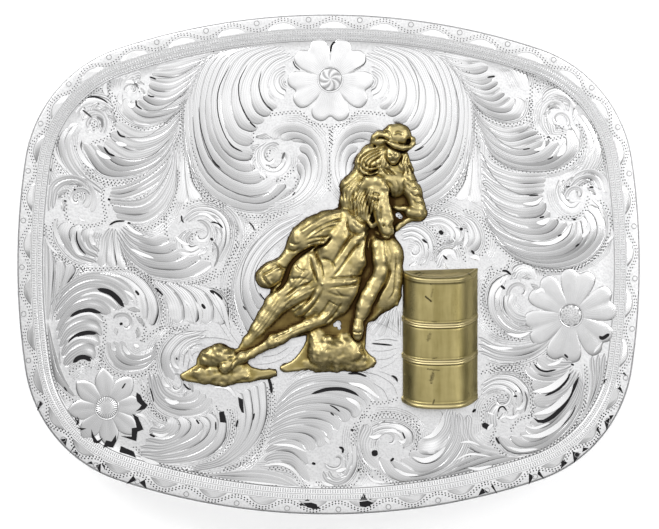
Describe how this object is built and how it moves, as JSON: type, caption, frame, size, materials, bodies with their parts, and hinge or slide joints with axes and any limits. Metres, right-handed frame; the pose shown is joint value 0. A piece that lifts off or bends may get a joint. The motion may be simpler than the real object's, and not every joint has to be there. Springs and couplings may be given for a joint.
{
  "type": "belt buckle",
  "caption": "Western trophy belt buckle: a curved engraved silver plate with a milled border, raised flowers and a cast horse, rider and drum, a strap loop and a prong behind.",
  "frame": {"origin": "middle of the rectangle that the buckle covers, on the surface that it lies on", "axes": "+X to the right and +Y to the top of the buckle as it is seen face on, +Z out of its face"},
  "size_m": [0.102, 0.0814, 0.019],
  "materials": {
    "plate_silver": "bright-cut engraved silver plate, polished, with dark tarnish in the cuts",
    "figure_brass": "cast brass, antiqued dark brown in the hollows and rubbed bright on the high places",
    "drum_brass": "cast brass, satin, with light tarnish streaks",
    "fitting_metal": "plain satin nickel silver"
  },
  "bodies": {
    "root": {"face_plate": "plate_silver", "horse_and_rider": "figure_brass", "drum": "drum_brass", "belt_loop": "fitting_metal", "hook_prong": "fitting_metal"}
  },
  "joints": []
}
